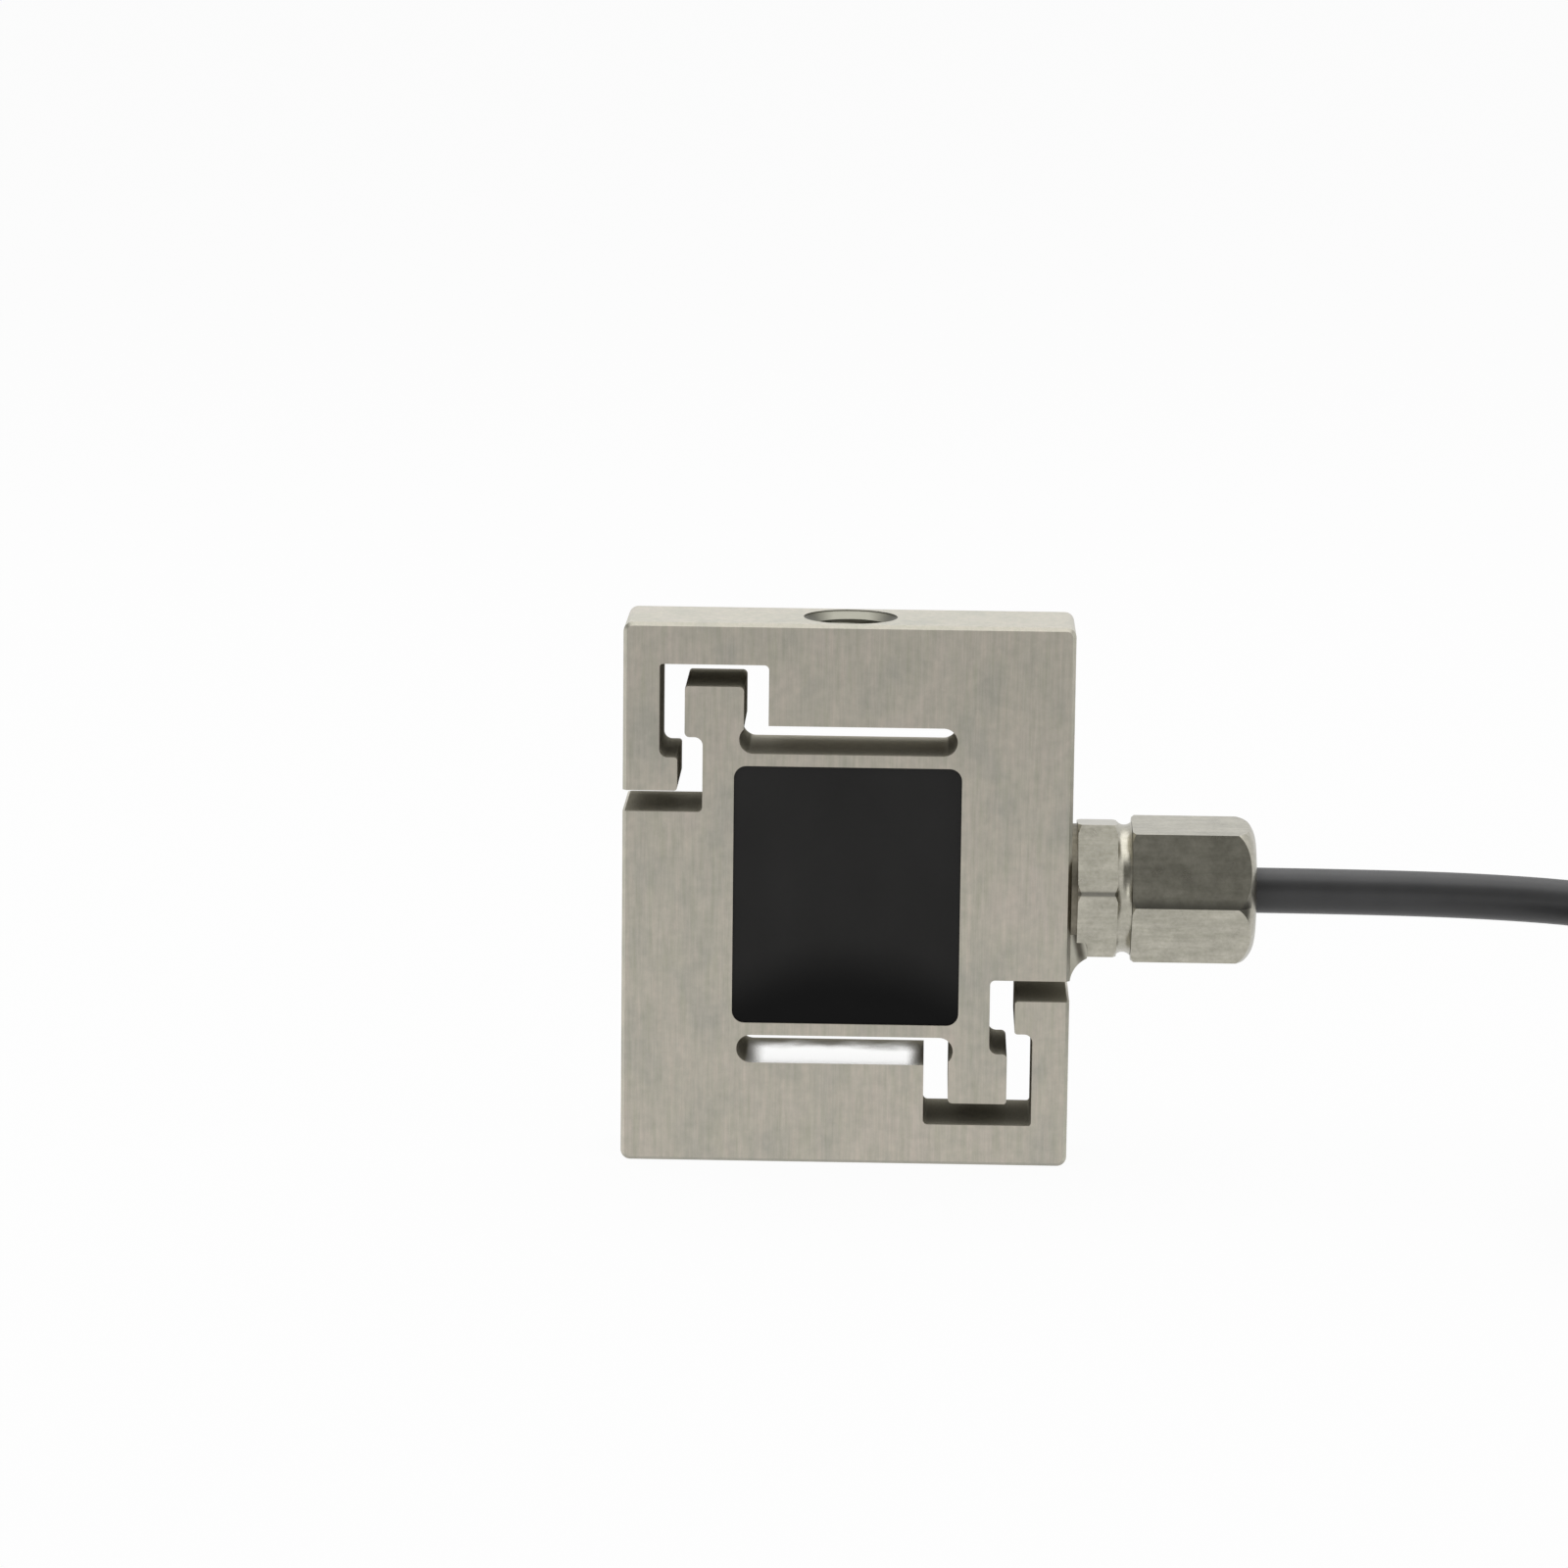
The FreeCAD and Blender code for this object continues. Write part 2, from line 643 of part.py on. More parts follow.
# ------------------------------------------------------------------ cable
def cable_route():
    """The free stretch from the gland to the coil: a stiff lead that droops a little."""
    height = mm("gland_height")
    return [
        Vector(mm("body_width") / 2 + mm("cable_start"), 0.0, height),
        Vector(58.0, 0.0, height), Vector(73.0, 0.1, 30.9), Vector(86.0, 0.9, 29.9),
        Vector(98.5, 2.7, 27.2), Vector(109.0, 4.8, 23.3), Vector(118.5, 6.2, 20.0),
    ]


def on_coil(turn, outward, height):
    """A place on the arc that the loose end follows: turn in degrees on from where it leaves its
    seat in the innermost turn, outward from that arc, and a height above the floor."""
    start = math.radians(mm("tail_start"))
    seat = mm("coil_middle_radius") - mm("coil_thickness") / 2 + mm("cable_radius")
    offset = mm("tail_radius") - seat
    angle = start - math.radians(turn)
    reach = mm("tail_radius") + outward
    return Vector(mm("coil_x") - offset * math.cos(start) + reach * math.cos(angle),
                  mm("coil_y") - offset * math.sin(start) + reach * math.sin(angle), height)


def tail_route():
    """The loose end, up from the last turn onto the top of the coil, where it lies."""
    top = mm("tie_thickness") + mm("coil_thickness")
    seat = top - mm("cable_radius")
    resting = top + mm("cable_radius") + mm("sleeve_thickness") + 0.05
    heights = (seat, seat + 1.3, resting - 1.7, resting, resting)
    step = mm("tail_turn") / (len(heights) - 1)
    return [on_coil(step * number, 0.0, height) for number, height in enumerate(heights)]


def make_cable_inside():
    body = gland_part("cable_inside_gland")
    turned(body, "Revolution", "Jacket", box(cell("cable_inner_end"), cell("cable_start"),
                                             ZERO, cell("cable_radius")))
    return keep(body)


def make_coil():
    """The outer shape of the tied coil, lifted off the floor by its ties."""
    body = new_body("cable_coil")
    half = cell("coil_thickness") / 2
    middle = cell("coil_middle_radius")
    section = box_corners(middle - half, middle + half, ZERO, cell("coil_thickness"),
                          cell("coil_corner"))
    turned(body, "Revolution", "Ring", rounded(section), axis="V_Axis")
    place(body, x=cell("coil_x"), y=cell("coil_y"), z=cell("tie_thickness"))
    doc.recompute()
    return keep(body)


TIE_ANGLES = (200.0, 238.0, 300.0)
# where each strand of the stripped end comes to lie: how far outward of the loose end's arc, in
# millimetres, and how far round it, in degrees
FAN = {"red": (0.2, 96.0), "green": (-2.0, 90.0), "drain": (-3.6, 70.0), "white": (-5.6, 93.0),
       "black": (-8.2, 86.0)}


def make_ties(coil):
    """Three cable ties, each a strap that follows the coil's section, with its ratchet head."""
    half = mm("coil_thickness") / 2 + mm("tie_thickness")
    middle = mm("coil_middle_radius")
    corner = mm("coil_corner") + mm("tie_thickness")
    centre = Vector(mm("coil_x"), mm("coil_y"), 0)
    frame = Part.makeBox(2 * half, 0.1, 2 * half, Vector(middle - half, -0.05, 0))
    face = min(frame.Faces, key=lambda side: side.CenterOfMass.y)
    ring = face.revolve(Vector(0, 0, 0), Vector(0, 0, 1), 360)
    ring = ring if ring.ShapeType == "Solid" else Part.makeSolid(ring)
    circles = [edge for edge in ring.Edges if isinstance(edge.Curve, Part.Circle)]
    ring = ring.makeFillet(corner, circles)
    width, outer = mm("tie_width"), middle + half
    head_width, head_length = mm("tie_head_width"), mm("tie_head_length")
    for number, angle in enumerate(TIE_ANGLES, start=1):
        slab = Part.makeBox(3 * half, width, 3 * half, Vector(middle - 1.5 * half, -width / 2, -1))
        head = Part.makeBox(mm("tie_head_height"), head_width, head_length,
                            Vector(outer - 0.5, -head_width / 2, half - head_length / 2))
        strap = ring.common(slab).fuse(head).removeSplitter()
        strap.rotate(Vector(0, 0, 0), Vector(0, 0, 1), angle)
        strap.translate(centre)
        strap = strap.cut(coil.Shape)
        keep(plain_part(f"cable_tie_{number}", strap))


def make_cable_and_tail(coil):
    lead = round_wire(cable_route(), mm("cable_radius"), "cable").cut(coil.Shape)
    keep(plain_part("cable", lead))
    tail = round_wire(tail_route(), mm("cable_radius"), "tail").cut(coil.Shape)
    keep(plain_part("cable_tail", tail))


def make_stripped_end():
    """Heat-shrink sleeve, four cores that fan out over the coil, drain wire and tinned tips."""
    route = tail_route()
    end = route[-1]
    along = (route[-1] - route[-2]).normalize()
    across = Vector(-along.y, along.x, 0).normalize()
    overhang, length = mm("sleeve_overhang"), mm("sleeve_length")
    inner, outer = mm("cable_radius"), mm("cable_radius") + mm("sleeve_thickness")
    start = end - along * (length - overhang)
    sleeve = Part.makeCylinder(outer, length, start, along)
    sleeve = sleeve.cut(Part.makeCylinder(inner, length, start, along))
    keep(plain_part("end_sleeve", sleeve))

    top = mm("tie_thickness") + mm("coil_thickness")
    turn = mm("tail_turn")

    def strand(first, radius, level, outward, reach):
        """Level out of the sleeve, then down onto the coil and round with its turns."""
        low = top + radius + 0.06
        landing = turn + 29.0
        return [first, first + along * 7.0,
                on_coil(landing, outward * 0.65, low + 0.7 + level * 0.5),
                on_coil(landing + reach * 0.22, outward * 0.78, low),
                on_coil(landing + reach * 0.48, outward * 0.88, low),
                on_coil(landing + reach * 0.74, outward * 0.95, low),
                on_coil(landing + reach, outward, low)]

    tips = []
    offset = mm("core_offset")
    for colour, side, level in CORES:
        outward, reach = FAN[colour]
        first = end + across * (side * offset) + Vector(0, 0, level * offset)
        spots = strand(first, mm("core_radius"), level, outward, reach)
        keep(plain_part("core_" + colour, round_wire(spots, mm("core_radius"), colour)))
        heading = (spots[-1] - spots[-2]).normalize()
        tips.append(Part.makeCylinder(mm("tinned_radius"), mm("tinned_length"), spots[-1],
                                      heading))
    thin = mm("drain_radius")
    outward, reach = FAN["drain"]
    spots = strand(end, thin, 0, outward, reach)
    keep(plain_part("drain_wire", round_wire(spots, thin, "drain")))
    keep(plain_part("tinned_tips", Part.makeCompound(tips)))


# ------------------------------------------------------------------ assembly
make_sensor_body()
make_gland_washer()
gland = make_gland_body()
make_gland_seal()
make_gland_thrust_ring()
make_gland_cap_nut()
make_gland_sealant(gland)
make_cable_inside()

before_potting = len(nodes)
solder_spots = make_gauges_and_leads() + make_inner_cores()
make_board(solder_spots)
make_potting(nodes[before_potting:])

coil = make_coil()
make_ties(coil)
make_cable_and_tail(coil)
make_stripped_end()
doc.recompute()

for item in doc.Objects:
    if "Invalid" in item.State or "Error" in item.State:
        raise RuntimeError(f"{item.Name} failed to compute: {item.State}")
for node in nodes:
    shape = node.Shape
    if shape.isNull() or not shape.isValid() or shape.Volume <= 0:
        raise RuntimeError(f"{node.Label} has no valid solid")
    shape.exportStep(f"parts/{node.Label}.step")
    print(f"{node.Label}: {len(shape.Solids)} solid(s), {shape.Volume:.1f} mm3")
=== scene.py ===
"""The looks of an S-type load cell: steel, potting, gland, threads and its tied cable."""

import math

import bmesh
import bpy
from mathutils import Matrix, Vector


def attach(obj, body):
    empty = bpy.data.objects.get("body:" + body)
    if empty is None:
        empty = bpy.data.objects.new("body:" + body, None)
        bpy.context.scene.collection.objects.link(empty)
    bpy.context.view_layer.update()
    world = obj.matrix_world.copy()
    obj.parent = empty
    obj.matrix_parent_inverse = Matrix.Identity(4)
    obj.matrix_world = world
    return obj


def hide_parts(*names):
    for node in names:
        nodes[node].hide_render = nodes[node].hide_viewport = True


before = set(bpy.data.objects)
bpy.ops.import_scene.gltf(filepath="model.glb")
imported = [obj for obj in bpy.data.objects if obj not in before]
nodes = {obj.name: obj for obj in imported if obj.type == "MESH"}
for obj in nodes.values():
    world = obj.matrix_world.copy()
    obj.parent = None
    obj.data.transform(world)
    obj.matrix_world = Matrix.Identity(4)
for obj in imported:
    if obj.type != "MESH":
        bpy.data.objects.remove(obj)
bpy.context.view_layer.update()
scene = bpy.context.scene
scene.view_settings.view_transform = "Standard"

MM = 0.001
BODY_WIDTH, BODY_HEIGHT = 50.8, 62.0
GLAND_HEIGHT = 31.2


def point(x, y, z):
    """A place given in millimetres, as a vector in metres."""
    return Vector((x, y, z)) * MM


# ------------------------------------------------------------------ node helpers
def new_material(name):
    material = bpy.data.materials.new(name)
    material.use_nodes = True
    tree = material.node_tree
    return material, tree, tree.nodes["Principled BSDF"]


def feed(tree, socket, value):
    """Links a socket into an input, or sets the input to a plain value."""
    if isinstance(value, bpy.types.NodeSocket):
        tree.links.new(value, socket)
    else:
        socket.default_value = value


def add_node(tree, kind, inputs=None, **settings):
    node = tree.nodes.new(kind)
    for key, value in settings.items():
        setattr(node, key, value)
    for key, value in (inputs or {}).items():
        feed(tree, node.inputs[key], value)
    return node


def link(tree, socket, target, name):
    tree.links.new(socket, target.inputs[name])


def math_node(tree, operation, first, second=0.0, clamp=False):
    return add_node(tree, "ShaderNodeMath", {0: first, 1: second}, operation=operation,
                    use_clamp=clamp).outputs[0]


def product(tree, first, *others):
    for other in others:
        first = math_node(tree, "MULTIPLY", first, other)
    return first


def apart(tree, first, second):
    """How far two values are apart, whichever is the larger."""
    return math_node(tree, "ABSOLUTE", math_node(tree, "SUBTRACT", first, second))


def separate(tree, vector):
    return add_node(tree, "ShaderNodeSeparateXYZ", {"Vector": vector}).outputs


def length_of(tree, across, along):
    """The length of a flat vector that is given by its two parts."""
    vector = add_node(tree, "ShaderNodeCombineXYZ", {"X": across, "Y": along}).outputs[0]
    return add_node(tree, "ShaderNodeVectorMath", {0: vector},
                    operation="LENGTH").outputs["Value"]


def object_place(tree, scale=(1, 1, 1)):
    """Object coordinates in millimetres, stretched by scale."""
    spot = add_node(tree, "ShaderNodeTexCoord").outputs["Object"]
    size = tuple(1000.0 * part for part in scale)
    return add_node(tree, "ShaderNodeMapping", {"Vector": spot, "Scale": size}).outputs["Vector"]


def noise(tree, place, scale, detail, roughness):
    return add_node(tree, "ShaderNodeTexNoise", {"Vector": place, "Scale": scale, "Detail": detail,
                                                 "Roughness": roughness}).outputs["Fac"]


def ramp(tree, factor, stops):
    node = add_node(tree, "ShaderNodeValToRGB", {"Fac": factor})
    elements = node.color_ramp.elements
    while len(elements) < len(stops):
        elements.new(0.5)
    for element, (where, colour) in zip(elements, stops):
        element.position = where
        element.color = (*colour, 1.0)
    return node.outputs["Color"]


def spread(tree, factor, low, high):
    """Takes a factor of 0 to 1 to the range low to high."""
    return add_node(tree, "ShaderNodeMapRange", {"Value": factor, "To Min": low,
                                                 "To Max": high}).outputs["Result"]


def step_mask(tree, value, start, end):
    """Rises smoothly from 0 at start to 1 at end, or falls where end is below start."""
    return add_node(tree, "ShaderNodeMapRange",
                    {"Value": value, "From Min": start, "From Max": end},
                    interpolation_type="SMOOTHSTEP").outputs["Result"]


def blend(tree, factor, first, second, kind="MIX"):
    node = add_node(tree, "ShaderNodeMix", data_type="RGBA", blend_type=kind)
    feed(tree, node.inputs[0], factor)
    for index, colour in ((6, first), (7, second)):
        plain = not isinstance(colour, bpy.types.NodeSocket)
        feed(tree, node.inputs[index], (*colour, 1.0) if plain else colour)
    return node.outputs[2]


def tinted(tree, base, factor, stops):
    """The base colour multiplied by a ramp."""
    return blend(tree, 1.0, base, ramp(tree, factor, stops), "MULTIPLY")


def mix_value(tree, factor, first, second):
    return add_node(tree, "ShaderNodeMix", {0: factor, 2: first, 3: second},
                    data_type="FLOAT").outputs[0]


def bump(tree, height, strength, distance, normal=None):
    inputs = {"Height": height, "Strength": strength, "Distance": distance}
    if normal is not None:
        inputs["Normal"] = normal
    return add_node(tree, "ShaderNodeBump", inputs).outputs["Normal"]


def scaled(colour, factor):
    return tuple(part * factor for part in colour)


def seen_rays(tree):
    """1 for rays that show a surface: straight to the camera, mirrored, or through glass."""
    path = add_node(tree, "ShaderNodeLightPath").outputs
    seen = math_node(tree, "MAXIMUM", path["Is Camera Ray"], path["Is Glossy Ray"])
    return math_node(tree, "MAXIMUM", seen, path["Is Transmission Ray"])


def mix_shaders(tree, factor, first, second, output):
    mixed = add_node(tree, "ShaderNodeMixShader", {0: factor, 1: first, 2: second})
    tree.links.new(mixed.outputs[0], output.inputs["Surface"])


# ------------------------------------------------------------------ steel
# Ramps: where along a noise or a height, and the colour or the tint there.
STEEL_CLOUD = [(0.34, (0.478, 0.468, 0.410)), (0.50, (0.530, 0.510, 0.438)),
               (0.66, (0.545, 0.516, 0.452))]
STEEL_STREAK = [(0.32, (0.925, 0.945, 0.915)), (0.50, (1.0, 1.0, 1.0)),
                (0.68, (1.07, 1.045, 1.045))]
STEEL_SPECK = [(0.30, (0.90, 0.91, 0.90)), (0.70, (1.06, 1.05, 1.04))]
STEEL_GRAIN = [(0.30, (0.94, 0.94, 0.94)), (0.70, (1.04, 1.04, 1.04))]
GROUND_SHADE = [(0.0, (0.885, 0.863, 0.863)), (0.45, (0.845, 0.825, 0.825)),
                (0.85, (0.755, 0.737, 0.737)), (1.0, (0.735, 0.718, 0.718))]
# Painted shade in the mouths of the load holes.
MOUTH_SHADE_COLOURS = [(0.20, (0.25, 0.245, 0.205)), (0.46, (0.06, 0.057, 0.038))]
CUT_COLOURS = [(0.3, (0.25, 0.235, 0.19)), (0.7, (0.34, 0.32, 0.26))]
# Painted shade on the sloping break of the long edges, to dim its highlight.
EDGE_SHADE_COLOUR, EDGE_SHADE_SHARE = (0.20, 0.19, 0.165), 0.45
# Painted light on the floor of the upper slot.
UPPER_FLOOR_LIGHT_COLOUR = (0.64, 0.61, 0.52)
# Painted reflection: a near-white mirror patch on the floor of the lower slot.
REFLECTION_PATCH_COLOUR = (0.96, 0.96, 0.95)
STEEL_ROUGH, CUT_ROUGH, REFLECTION_PATCH_ROUGH = (0.34, 0.46), (0.40, 0.60), 0.12

# Soft limits in millimetres: where a mask is 0, and where it is 1.
MOUTH_RADIUS = (5.34, 5.28)
MOUTH_LEVEL = (BODY_HEIGHT / 2 - 2.2, BODY_HEIGHT / 2 - 1.8)
UPPER_FLOOR = {"from_middle": (12.8, 11.6), "above": (46.0, 46.4), "below": (49.8, 49.4),
               "depth": (-7.5, 3.5)}
LOWER_FLOOR = {"below": (13.0, 12.4), "above": (10.8, 11.2), "from_left": (-12.2, -8.9),
               "from_right": (9.2, 6.8), "depth": (8.0, 2.4)}
REFLECTION_WAVE_SCALE, REFLECTION_WAVE_HEIGHT = 0.22, 4.0

# How far inside the outline the walls of the cuts begin, from the sides and from the ends.
CUT_FROM_SIDE, CUT_FROM_END = 0.25, 2.0

# Parts of a face's normal: the ground faces look forwards or backwards, walls look neither way,
# and floors look up. On the sloping break of an edge the product of both parts is large.
GROUND_FACING, WALL_FACING = (0.85, 0.97), 0.3
FLOOR_FACING, EDGE_SHADE_FACING = (0.90, 0.97), (0.15, 0.40)


def make_steel():
    """Plated steel: ground faces with a faint upright grain, dull dark cuts, painted shade on the
    ground faces, edge breaks and hole mouths, painted light on the upper slot's floor and a
    painted reflection on the lower slot's floor.
    """
    material, tree, shader = new_material("plated_steel")
    place = object_place(tree)
    cloud = noise(tree, object_place(tree, (1, 1, 0.7)), 0.16, 3.0, 0.5)
    mottle = noise(tree, place, 0.9, 4.0, 0.6)
    streak = noise(tree, object_place(tree, (3.4, 3.4, 0.30)), 0.5, 3.0, 0.6)
    grain = noise(tree, object_place(tree, (14, 14, 0.5)), 0.5, 3.0, 0.6)
    fine = noise(tree, place, 6.0, 2.0, 0.5)

    base = ramp(tree, cloud, STEEL_CLOUD)
    base = tinted(tree, base, streak, STEEL_STREAK)
    base = tinted(tree, base, mottle, STEEL_SPECK)
    base = tinted(tree, base, grain, STEEL_GRAIN)

    spot = separate(tree, place)
    facing = separate(tree, add_node(tree, "ShaderNodeNewGeometry").outputs["Normal"])
    from_middle = math_node(tree, "ABSOLUTE", spot["X"])
    level = apart(tree, spot["Z"], BODY_HEIGHT / 2)
    sideways = math_node(tree, "ABSOLUTE", facing["Y"])
    upward = math_node(tree, "ABSOLUTE", facing["Z"])

    # painted shade: the two large ground faces are darker than the rest, and darkest at the top,
    # for how the light falls on them
    ground = step_mask(tree, sideways, *GROUND_FACING)
    height = math_node(tree, "MULTIPLY", spot["Z"], 1 / BODY_HEIGHT)
    base = blend(tree, ground, base, tinted(tree, base, height, GROUND_SHADE))

    # painted shade: the sloping break of the long edges is darkened, so that the highlight it
    # catches is less bright than the faces
    edge_shade = step_mask(tree, product(tree, sideways, upward), *EDGE_SHADE_FACING)
    base = blend(tree, product(tree, edge_shade, EDGE_SHADE_SHARE), base, EDGE_SHADE_COLOUR)

    # painted shade in the mouths of the two load holes, lighter in the middle and darker to the
    # sides; its ramp runs over the first 10 mm from the middle
    from_axis = length_of(tree, spot["X"], spot["Y"])
    mouth_shade = product(tree, step_mask(tree, from_axis, *MOUTH_RADIUS),
                    step_mask(tree, level, *MOUTH_LEVEL))
    mouth_shade_colour = ramp(tree, math_node(tree, "MULTIPLY", from_middle, 0.1), MOUTH_SHADE_COLOURS)
    base = blend(tree, mouth_shade, base, mouth_shade_colour)

    # sawn and eroded walls inside the outline
    cut = product(tree,
                  math_node(tree, "LESS_THAN", from_middle, BODY_WIDTH / 2 - CUT_FROM_SIDE),
                  math_node(tree, "LESS_THAN", level, BODY_HEIGHT / 2 - CUT_FROM_END),
                  math_node(tree, "LESS_THAN", sideways, WALL_FACING))
    base = blend(tree, cut, base, ramp(tree, fine, CUT_COLOURS))

    # painted light: the floor of the upper slot is paler than the walls, and palest towards the
    # back, where light from behind falls on it
    lying = step_mask(tree, facing["Z"], *FLOOR_FACING)
    upper_floor_light = product(tree, cut, lying,
                          step_mask(tree, from_middle, *UPPER_FLOOR["from_middle"]),
                          step_mask(tree, spot["Z"], *UPPER_FLOOR["above"]),
                          step_mask(tree, spot["Z"], *UPPER_FLOOR["below"]),
                          step_mask(tree, spot["Y"], *UPPER_FLOOR["depth"]))
    base = blend(tree, upper_floor_light, base, UPPER_FLOOR_LIGHT_COLOUR)

    # painted reflection: a near-white mirror patch on the floor of the lower slot, shaped like the
    # reflection of the bright background, with a wavy edge; it mirrors the room as well
    wave = math_node(tree, "MULTIPLY", noise(tree, place, REFLECTION_WAVE_SCALE, 2.0, 0.5),
                     REFLECTION_WAVE_HEIGHT)
    depth = math_node(tree, "ADD", spot["Y"], wave)
    reflection_patch = product(tree, cut, lying,
                     step_mask(tree, spot["Z"], *LOWER_FLOOR["below"]),
                     step_mask(tree, spot["Z"], *LOWER_FLOOR["above"]),
                     step_mask(tree, spot["X"], *LOWER_FLOOR["from_left"]),
                     step_mask(tree, spot["X"], *LOWER_FLOOR["from_right"]),
                     step_mask(tree, depth, *LOWER_FLOOR["depth"]))
    base = blend(tree, reflection_patch, base, REFLECTION_PATCH_COLOUR)
    link(tree, base, shader, "Base Color")

    dull = math_node(tree, "SUBTRACT", cut, reflection_patch, clamp=True)
    link(tree, math_node(tree, "SUBTRACT", 1.0, dull), shader, "Metallic")
    shader.inputs["Specular IOR Level"].default_value = 0.0
    rough = spread(tree, mottle, *STEEL_ROUGH)
    rough = mix_value(tree, cut, rough, spread(tree, fine, *CUT_ROUGH))
    rough = mix_value(tree, reflection_patch, rough, REFLECTION_PATCH_ROUGH)
    link(tree, rough, shader, "Roughness")
    normal = bump(tree, grain, 0.10, 0.04 * MM)
    normal = bump(tree, fine, 0.06, 0.03 * MM, normal)
    link(tree, normal, shader, "Normal")
    return material


# ------------------------------------------------------------------ gland
NICKEL_COLOUR = (0.425, 0.410, 0.352)
NICKEL_SPECK = [(0.32, (0.88, 0.88, 0.86)), (0.62, (1.04, 1.04, 1.04))]
NICKEL_DRAWN = [(0.34, (0.90, 0.90, 0.88)), (0.66, (1.08, 1.07, 1.07))]
# The last share is how far a mark darkens the plating: painted shade on the cap nut, a dark line
# on the flange.
DARK_SHARE, BRIGHT_SHARE, SHADE_AND_LINE_SHARE = 0.86, 1.08, 0.42

# Angles about the gland's axis in degrees, 0 towards the front and rising upwards, and radii in
# millimetres beyond which a hexagon's outer faces lie.
FLANGE_CORNER, FLANGE_RADIUS = 6.3, (7.9, 8.1)
# Painted shade on the front flat of the cap nut, darker towards its lower corner.
NUT_SHADE_ANGLES, NUT_CORNER, NUT_RADIUS = (4.5, -3.6), (-4.3, -4.0), (7.4, 7.6)
NUT_SHADE_STRENGTH = 0.9
# The line along the flange's corner fades out between these angles from it, in radians.
FLANGE_LINE = (0.046, 0.016)

SEALANT_COLOURS = [(0.3, (0.52, 0.50, 0.41)), (0.7, (0.60, 0.58, 0.49))]
# Painted shade: a dark brown seam where the compound meets the flange.
SEAM_SHADE_COLOUR = (0.085, 0.075, 0.050)
# The seam starts at this height and distance from the middle, and leans outwards as it drops.
SEAM_TOP, SEAM_START, SEAM_LEAN = GLAND_HEIGHT - 2.5, 25.65, 0.224
SEAM_WIDTH, SEAM_DROP = (0.80, 0.1), (6.0, 4.0)


def make_nickel(name, colour=NICKEL_COLOUR, rough=(0.24, 0.34), mark=None):
    """Nickel plating over turned and milled brass, with small pits.

    mark is a node function that gives where the plating is darkened, from 0 to 1: painted shade on
    the cap nut, a dark line along the flange's corner.
    """
    material, tree, shader = new_material(name)
    place = object_place(tree)
    cloud = noise(tree, place, 0.45, 3.0, 0.55)
    pits = noise(tree, place, 2.2, 4.0, 0.65)
    drawn = noise(tree, object_place(tree, (0.22, 1.7, 1.7)), 0.8, 3.0, 0.6)
    base = ramp(tree, cloud, [(0.3, scaled(colour, DARK_SHARE)),
                              (0.7, scaled(colour, BRIGHT_SHARE))])
    base = tinted(tree, base, pits, NICKEL_SPECK)
    base = tinted(tree, base, drawn, NICKEL_DRAWN)
    if mark:
        base = blend(tree, mark(tree, place), base, scaled(colour, SHADE_AND_LINE_SHARE))
    link(tree, base, shader, "Base Color")
    shader.inputs["Metallic"].default_value = 1.0
    link(tree, spread(tree, cloud, *rough), shader, "Roughness")
    link(tree, bump(tree, pits, 0.12, 0.05 * MM), shader, "Normal")
    return material


def around_gland(tree, place):
    """The angle about the gland's axis, 0 towards the front and rising upwards, and the radius."""
    spot = separate(tree, place)
    rise = math_node(tree, "SUBTRACT", spot["Z"], GLAND_HEIGHT)
    front = math_node(tree, "MULTIPLY", spot["Y"], -1.0)
    return math_node(tree, "ARCTAN2", rise, front), length_of(tree, front, rise)


def angle_mask(tree, angle, start, end):
    """A step mask between two angles in degrees."""
    return step_mask(tree, angle, math.radians(start), math.radians(end))


def flange_dark_line(tree, place):
    """A dark line along the front corner of the gland's flange."""
    angle, radius = around_gland(tree, place)
    off = apart(tree, angle, math.radians(FLANGE_CORNER))
    return product(tree, step_mask(tree, off, *FLANGE_LINE),
                   step_mask(tree, radius, *FLANGE_RADIUS))


def nut_painted_shade(tree, place):
    """Painted shade: the front flat of the cap nut is darker towards its lower corner."""
    angle, radius = around_gland(tree, place)
    return product(tree, angle_mask(tree, angle, *NUT_SHADE_ANGLES),
                   angle_mask(tree, angle, *NUT_CORNER),
                   step_mask(tree, radius, *NUT_RADIUS), NUT_SHADE_STRENGTH)


def make_sealant():
    """Set compound, smeared the colour of the plating, with painted shade: a dark brown seam where
    it meets the flange.
    """
    material, tree, shader = new_material("sealing_compound")
    place = object_place(tree)
    cloud = noise(tree, place, 0.6, 3.0, 0.55)
    fine = noise(tree, place, 2.5, 3.0, 0.6)
    base = ramp(tree, cloud, SEALANT_COLOURS)
    spot = separate(tree, place)
    drop = math_node(tree, "SUBTRACT", SEAM_TOP, spot["Z"])
    seam = math_node(tree, "ADD", SEAM_START, math_node(tree, "MULTIPLY", drop, SEAM_LEAN))
    off = apart(tree, spot["X"], seam)
    seam_shade = product(tree, step_mask(tree, off, *SEAM_WIDTH), step_mask(tree, drop, *SEAM_DROP))
    base = blend(tree, seam_shade, base, SEAM_SHADE_COLOUR)
    link(tree, base, shader, "Base Color")
    link(tree, spread(tree, fine, 0.4, 0.55), shader, "Roughness")
    link(tree, bump(tree, fine, 0.25, 0.1 * MM), shader, "Normal")
    return material


# ------------------------------------------------------------------ potting and plastics
POTTING_COLOURS = [(0.30, (0.021, 0.0205, 0.020)), (0.70, (0.026, 0.0255, 0.025))]
POTTING_SHADE_COLOUR = (0.003, 0.003, 0.003)
# Painted shade on the lower part of the compound: the heights where it begins and where it is
# full, lower away from the middle.
POTTING_SHADE_LEVELS, POTTING_SHADE_BEND = (27.0, 19.5), 0.022


